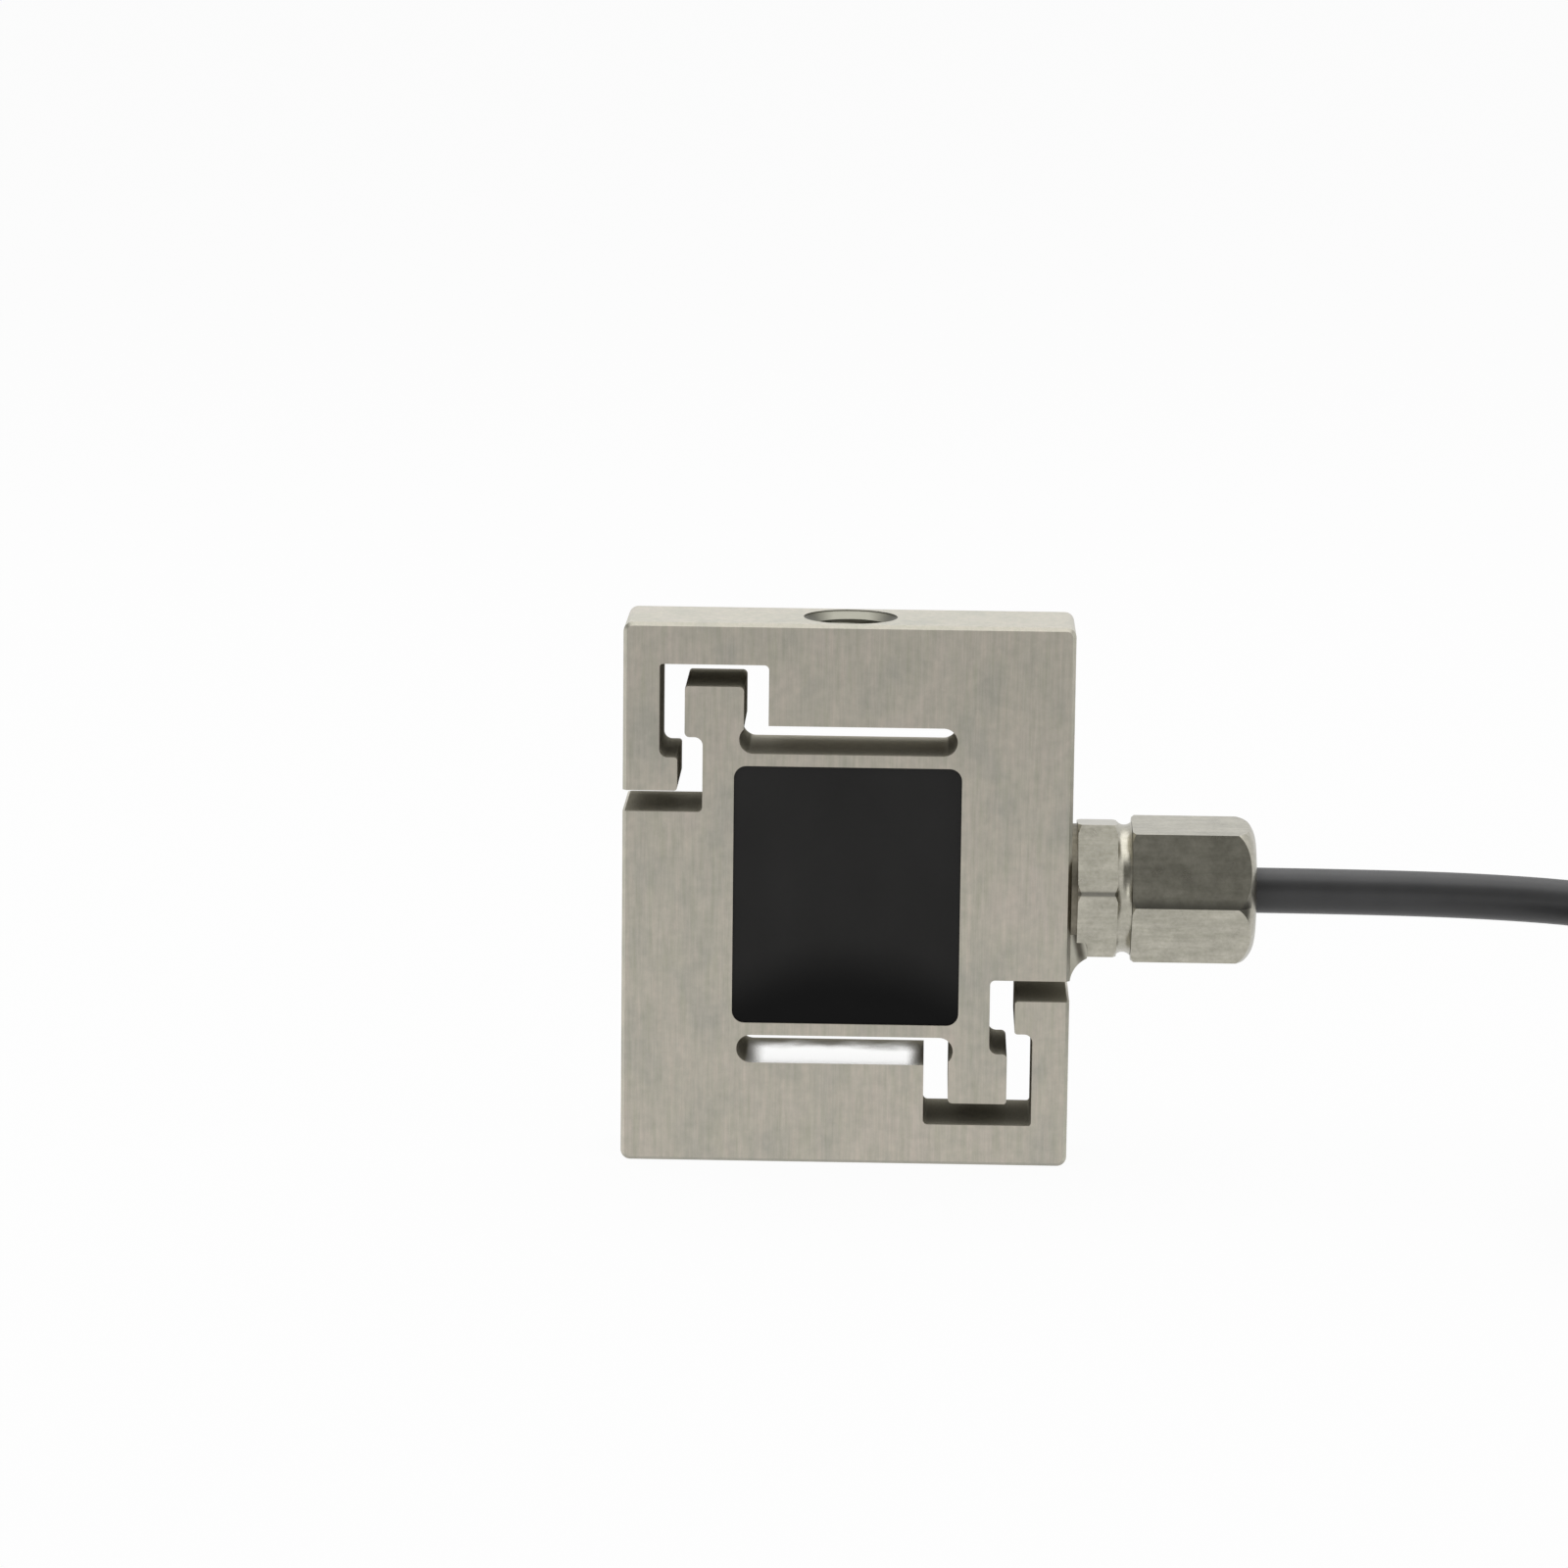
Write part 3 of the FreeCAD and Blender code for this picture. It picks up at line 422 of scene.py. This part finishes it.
def make_potting():
    """Black compound poured into the window, with a soft skin, a few faint ripples and painted
    shade on its lower part.
    """
    material, tree, shader = new_material("potting_black")
    place = object_place(tree)
    cloud = noise(tree, object_place(tree, (1, 1, 0.6)), 0.10, 2.0, 0.5)
    ripple = noise(tree, place, 0.35, 3.0, 0.5)
    fine = noise(tree, place, 4.0, 3.0, 0.6)
    spot = separate(tree, place)
    # painted shade: the lower part is darker, with its edge lower away from the middle
    shade_height = math_node(tree, "POWER", math_node(tree, "ABSOLUTE", spot["X"]), 2.0)
    shade_height = math_node(tree, "ADD", spot["Z"], math_node(tree, "MULTIPLY", shade_height, POTTING_SHADE_BEND))
    lower_shade = step_mask(tree, shade_height, *POTTING_SHADE_LEVELS)
    base = blend(tree, lower_shade, ramp(tree, cloud, POTTING_COLOURS), POTTING_SHADE_COLOUR)
    link(tree, base, shader, "Base Color")
    shader.inputs["Specular IOR Level"].default_value = 0.1
    link(tree, spread(tree, ripple, 0.34, 0.50), shader, "Roughness")
    normal = bump(tree, ripple, 0.25, 0.3 * MM)
    normal = bump(tree, fine, 0.08, 0.03 * MM, normal)
    link(tree, normal, shader, "Normal")
    return material


def make_plastic(name, colour, rough=(0.35, 0.5), grain=3.0, depth=0.02 * MM, vary=0.12):
    """Moulded or extruded plastic with a fine skin and slight unevenness of colour."""
    material, tree, shader = new_material(name)
    place = object_place(tree)
    cloud = noise(tree, place, 0.25, 2.0, 0.5)
    fine = noise(tree, place, grain, 3.0, 0.6)
    dark = scaled(colour, 1 - vary)
    bright = tuple(min(1.0, part) for part in scaled(colour, 1 + vary))
    link(tree, ramp(tree, cloud, [(0.3, dark), (0.7, bright)]), shader, "Base Color")
    link(tree, spread(tree, fine, *rough), shader, "Roughness")
    link(tree, bump(tree, fine, 0.2, depth), shader, "Normal")
    return material


# ------------------------------------------------------------------ camera
# The place is in millimetres and the turns are in radians.
CAMERA_PLACE = (8.297, -635.937, 158.934)
CAMERA_YAW, CAMERA_PITCH, CAMERA_ROLL = 0.0246, 0.1808, 0.0109
SENSOR_WIDTH, LENS = 36.0, 130.533
CLIP_START, CLIP_END = 0.01, 50.0


def make_camera():
    data = bpy.data.cameras.new("camera")
    camera = bpy.data.objects.new("camera", data)
    scene.collection.objects.link(camera)
    data.sensor_width = SENSOR_WIDTH
    data.lens = LENS
    data.clip_start = CLIP_START
    data.clip_end = CLIP_END
    right = Vector((math.cos(CAMERA_YAW), math.sin(CAMERA_YAW), 0))
    ahead = Vector((-math.sin(CAMERA_YAW), math.cos(CAMERA_YAW), 0))
    up = Vector((0, 0, 1)) * math.cos(CAMERA_PITCH) + ahead * math.sin(CAMERA_PITCH)
    forward = ahead * math.cos(CAMERA_PITCH) - Vector((0, 0, 1)) * math.sin(CAMERA_PITCH)
    x_axis = right * math.cos(CAMERA_ROLL) + up * math.sin(CAMERA_ROLL)
    y_axis = up * math.cos(CAMERA_ROLL) - right * math.sin(CAMERA_ROLL)
    turn = Matrix((x_axis, y_axis, -forward)).transposed().to_4x4()
    camera.matrix_world = Matrix.Translation(point(*CAMERA_PLACE)) @ turn
    scene.camera = camera


# ------------------------------------------------------------------ studio
WHITE = (1.0, 1.0, 1.0)
FLOOR_REACH, FLOOR_GLOW = 12.0, 0.95
FLOOR_COLOURS = [(0.3, (0.80, 0.80, 0.80)), (0.7, (0.815, 0.815, 0.815))]

# Name, place and aim in metres, size in metres, and power in watts.
LAMPS = (
    ("overhead", (0.0, 0.12, 0.62), (0.0, 0.06, 0.0), (1.00, 0.85), 3.0),
    ("front_fill", (-0.55, -0.9, 0.10), (0.0, 0.0, 0.03), (0.5, 0.3), 0.7),
)

# The grey part of the room that the metal mirrors: soft limits of its height in radians, and of
# a direction's parts towards the back and to the right.
SHADE_COLOUR = (0.205, 0.205, 0.195)
SHADE_LOW, SHADE_HIGH = (0.08, 0.28), (1.20, 0.95)
SHADE_BACK, SHADE_RIGHT = (0.12, -0.12), (0.50, 0.30)
AMBIENT = 0.50


def make_floor_material():
    """Pale floor: nearly white to the camera, but it still takes the object's soft shadow."""
    material, tree, shader = new_material("pale_floor")
    place = add_node(tree, "ShaderNodeTexCoord").outputs["Object"]
    cloud = add_node(tree, "ShaderNodeTexNoise", {"Vector": place, "Scale": 3.0}).outputs["Fac"]
    link(tree, ramp(tree, cloud, FLOOR_COLOURS), shader, "Base Color")
    shader.inputs["Roughness"].default_value = 0.9
    shader.inputs["Specular IOR Level"].default_value = 0.0
    glow = add_node(tree, "ShaderNodeEmission", {"Color": (*WHITE, 1.0), "Strength": 1.0})
    seen = math_node(tree, "MULTIPLY", seen_rays(tree), FLOOR_GLOW)
    mix_shaders(tree, seen, shader.outputs[0], glow.outputs[0], tree.nodes["Material Output"])
    return material


def make_floor():
    mesh = bpy.data.meshes.new("floor")
    corners = [(x * FLOOR_REACH, y * FLOOR_REACH, 0) for x, y in ((-1, -1), (1, -1), (1, 1),
                                                                  (-1, 1))]
    mesh.from_pydata(corners, [], [(0, 1, 2, 3)])
    mesh.materials.append(make_floor_material())
    floor = bpy.data.objects.new("floor", mesh)
    scene.collection.objects.link(floor)


def make_lamp(name, place, aim, size, power):
    data = bpy.data.lights.new(name, "AREA")
    data.shape = "RECTANGLE"
    data.size, data.size_y = size
    data.energy = power
    light = bpy.data.objects.new(name, data)
    scene.collection.objects.link(light)
    light.location = place
    light.rotation_euler = (Vector(aim) - Vector(place)).to_track_quat("-Z", "Y").to_euler()


def make_world():
    """White to the camera. The metal mirrors white with a grey part in front of the object."""
    world = bpy.data.worlds.new("studio")
    scene.world = world
    world.use_nodes = True
    tree = world.node_tree
    tree.nodes.clear()
    way = separate(tree, add_node(tree, "ShaderNodeTexCoord").outputs["Generated"])
    height = math_node(tree, "ARCSINE", way["Z"])
    shade = product(tree, step_mask(tree, height, *SHADE_LOW),
                    step_mask(tree, height, *SHADE_HIGH),
                    step_mask(tree, way["Y"], *SHADE_BACK),
                    step_mask(tree, way["X"], *SHADE_RIGHT))
    colour = blend(tree, shade, WHITE, SHADE_COLOUR)
    to_camera = add_node(tree, "ShaderNodeLightPath").outputs["Is Camera Ray"]
    colour = blend(tree, to_camera, colour, WHITE)
    seen = add_node(tree, "ShaderNodeBackground", {"Color": colour, "Strength": 1.0})
    ambient = add_node(tree, "ShaderNodeBackground", {"Color": (*WHITE, 1.0),
                                                      "Strength": AMBIENT})
    mix_shaders(tree, seen_rays(tree), ambient.outputs[0], seen.outputs[0],
                add_node(tree, "ShaderNodeOutputWorld"))


# ------------------------------------------------------------------ cable and threads
CABLE_RADIUS = 2.6
CORD_RESOLUTION, CORD_SIDES = 6, 8

# The cable's line from the gland to the coil.
LEAD = [(44.6, 0.0, GLAND_HEIGHT), (58.0, 0.0, GLAND_HEIGHT), (73.0, 0.1, 30.9),
        (86.0, 0.9, 29.9), (98.5, 2.7, 27.2), (109.0, 4.8, 23.3), (118.5, 6.2, 20.0)]

# Angles of the coil and the tail are in degrees about the coil's centre. Of the points of a
# turn, the last ones (CROSSOVER) lead over to the next turn's seat.
COIL_CENTRE, COIL_START = (120.2, -30.0), 90.0
COIL_RADII = (36.3, 31.1, 25.9, 20.7)
COIL_LAYERS = (19.2, 14.0, 8.8, 3.6)
POINTS_PER_TURN, CROSSOVER = 20, 6

# The loose end: how far it has turned from its start, and its height there. All its points but
# the last lie a little further out, because the line cuts their corners.
TAIL_START, TAIL_RADIUS, TAIL_CORNER = 165.0, 28.0, 0.4
TAIL = ((3.0, 19.4), (17.0, 20.3), (31.0, 22.0), (45.0, 23.65), (59.0, 24.85), (73.0, 24.95),
        (80.0, 24.95))

# M8 x 1.25: radii, pitch, and the depths below the end face where the ridge begins and ends.
THREAD_OUTER, THREAD_INNER, THREAD_PITCH = 4.0, 3.33, 1.25
THREAD_BEGIN, THREAD_END = 0.9, 8.4
THREAD_STEPS = 40
HALF_ROOT, HALF_CREST = THREAD_PITCH * 0.44, THREAD_PITCH * 0.06
# How far the ridge's foot reaches into the wall, the share of a turn over which it rises to its
# height, and the least part of that height.
THREAD_SINK, THREAD_EASE, THREAD_LEAST = 0.02, 0.6, 0.02


def add_piece(name, data, material):
    piece = bpy.data.objects.new(name, data)
    scene.collection.objects.link(piece)
    data.materials.append(material)
    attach(piece, "root")
    return piece


def nurbs(name, points, radius, material):
    """A round cord along a smooth line; the points are in millimetres."""
    data = bpy.data.curves.new(name, "CURVE")
    data.dimensions = "3D"
    data.bevel_depth = radius * MM
    data.bevel_resolution = CORD_SIDES
    data.use_fill_caps = True
    data.resolution_u = CORD_RESOLUTION
    spline = data.splines.new("NURBS")
    spline.points.add(len(points) - 1)
    for item, spot in zip(spline.points, points):
        item.co = (spot[0] * MM, spot[1] * MM, spot[2] * MM, 1.0)
    spline.order_u = 3
    spline.use_endpoint_u = True
    return add_piece(name, data, material)


def coil_points():
    """Turns wound clockwise on each other: down the outer column, up the next, and so on in."""
    seats = []
    for number, radius in enumerate(COIL_RADII):
        heights = COIL_LAYERS if number % 2 == 0 else COIL_LAYERS[::-1]
        seats += [(radius, height) for height in heights]
    points = []
    whole_turn = len(seats) * 360.0 + COIL_START - TAIL_START
    for step in range(1, int(whole_turn * POINTS_PER_TURN / 360.0) + 1):
        turn, part = divmod(step, POINTS_PER_TURN)
        here, after = seats[turn], seats[min(turn + 1, len(seats) - 1)]
        share = max(0.0, part - (POINTS_PER_TURN - CROSSOVER)) / CROSSOVER
        share = share * share * (3 - 2 * share)
        radius = here[0] + (after[0] - here[0]) * share
        height = here[1] + (after[1] - here[1]) * share
        # the line cuts the corners, so they lie a little outside the turn
        radius /= math.cos(math.pi / POINTS_PER_TURN)
        angle = math.radians(COIL_START) - 2 * math.pi * step / POINTS_PER_TURN
        points.append((COIL_CENTRE[0] + radius * math.cos(angle),
                       COIL_CENTRE[1] + radius * math.sin(angle), height))
    return points


def tail_points():
    """The loose end, up from the innermost turn onto the top of the coil."""
    start = math.radians(TAIL_START)
    offset = TAIL_RADIUS - COIL_RADII[-1]
    points = []
    for turn, height in TAIL:
        angle = start - math.radians(turn)
        reach = TAIL_RADIUS + (TAIL_CORNER if turn < TAIL[-1][0] else 0.0)
        points.append((COIL_CENTRE[0] - offset * math.cos(start) + reach * math.cos(angle),
                       COIL_CENTRE[1] - offset * math.sin(start) + reach * math.sin(angle),
                       height))
    return points


def make_cable(material):
    cable = nurbs("cable_run", LEAD + coil_points() + tail_points(), CABLE_RADIUS, material)
    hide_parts("cable", "cable_coil", "cable_tail")
    return cable


def make_thread(name, top, bottom, material):
    """The ridge of an internal thread: a helix of 60 degree crests inside a bore."""
    count = int((top - bottom) / THREAD_PITCH * THREAD_STEPS)
    easing = THREAD_STEPS * THREAD_EASE
    root = THREAD_OUTER + THREAD_SINK
    bm = bmesh.new()
    rings = []
    for step in range(count + 1):
        angle = 2 * math.pi * step / THREAD_STEPS
        middle = bottom + THREAD_PITCH * step / THREAD_STEPS
        ease = max(min(1.0, step / easing, (count - step) / easing), THREAD_LEAST)
        crest = THREAD_OUTER - (THREAD_OUTER - THREAD_INNER) * ease
        ring = []
        for radius, height in ((root, middle - HALF_ROOT), (crest, middle - HALF_CREST),
                               (crest, middle + HALF_CREST), (root, middle + HALF_ROOT)):
            height = min(max(height, bottom), top)
            ring.append(bm.verts.new(point(radius * math.cos(angle), radius * math.sin(angle),
                                           height)))
        rings.append(ring)
    for first, second in zip(rings, rings[1:]):
        for index in range(4):
            after = (index + 1) % 4
            bm.faces.new((first[index], second[index], second[after], first[after]))
    bm.faces.new(rings[0])
    bm.faces.new(tuple(reversed(rings[-1])))
    bmesh.ops.recalc_face_normals(bm, faces=bm.faces)
    mesh = bpy.data.meshes.new(name)
    bm.to_mesh(mesh)
    bm.free()
    piece = add_piece(name, mesh, material)
    return piece


# ------------------------------------------------------------------ the object
make_camera()
make_floor()
for lamp in LAMPS:
    make_lamp(*lamp)
make_world()

steel = make_steel()
nickel = make_nickel("nickel_plating")
nickel_flange = make_nickel("nickel_flange", mark=flange_dark_line)
nickel_nut = make_nickel("nickel_nut", mark=nut_painted_shade)
# Painted shade: the washer's nickel is darkened to stand for the shadow in the gap between the
# body and the gland's flange.
washer_shade_nickel = make_nickel("nickel_washer_painted_shade", (0.19, 0.175, 0.14), (0.4, 0.55))
rubber = make_plastic("gland_rubber_black", (0.02, 0.02, 0.02), (0.55, 0.7))
sealant = make_sealant()
potting = make_potting()
jacket = make_plastic("cable_jacket", (0.034, 0.034, 0.035), (0.36, 0.46), 1.6, 0.03 * MM)
tie_plastic = make_plastic("tie_nylon", (0.022, 0.022, 0.024), (0.32, 0.45))
shrink = make_plastic("shrink_tube", (0.018, 0.018, 0.018), (0.5, 0.62), 1.0, 0.06 * MM)
core_colours = {
    "red": (0.50, 0.025, 0.02), "black": (0.018, 0.018, 0.018),
    "green": (0.015, 0.24, 0.07), "white": (0.78, 0.78, 0.75),
}
cores = {name: make_plastic("insulation_" + name, colour, (0.25, 0.35), 2.0, vary=0.06)
         for name, colour in core_colours.items()}
tinned = make_nickel("tinned_copper", (0.66, 0.64, 0.60), (0.25, 0.4))
film = make_plastic("gauge_film", (0.50, 0.26, 0.07), (0.2, 0.3))
resist = make_plastic("board_resist", (0.03, 0.16, 0.06), (0.25, 0.35))
ceramic = make_plastic("resistor_black", (0.02, 0.02, 0.022), (0.4, 0.5))

NODE_MATERIALS = {
    "sensor_body": steel, "potting_compound": potting, "gland_washer": washer_shade_nickel,
    "gland_body": nickel_flange, "gland_cap_nut": nickel_nut, "gland_thrust_ring": nickel,
    "gland_seal": rubber, "gland_sealant": sealant, "cable_inside_gland": jacket,
    "cable_tie_1": tie_plastic, "cable_tie_2": tie_plastic, "cable_tie_3": tie_plastic,
    "end_sleeve": shrink, "drain_wire": tinned, "inner_drain_wire": tinned,
    "tinned_tips": tinned, "solder_joints": tinned, "terminal_board": resist,
    "span_resistor": ceramic, "zero_resistor": ceramic,
}
for corner in ("upper_left", "upper_right", "lower_left", "lower_right"):
    NODE_MATERIALS["strain_gauge_" + corner] = film
    NODE_MATERIALS["gauge_leads_" + corner] = tinned
for colour, material in cores.items():
    NODE_MATERIALS["core_" + colour] = material
    NODE_MATERIALS["inner_core_" + colour] = material

for name, item in nodes.items():
    for slot in item.material_slots:
        slot.material = NODE_MATERIALS.get(name, jacket)

make_thread("thread_top_ridge", BODY_HEIGHT - THREAD_BEGIN, BODY_HEIGHT - THREAD_END, steel)
make_thread("thread_bottom_ridge", THREAD_END, THREAD_BEGIN, steel)

cable = make_cable(jacket)
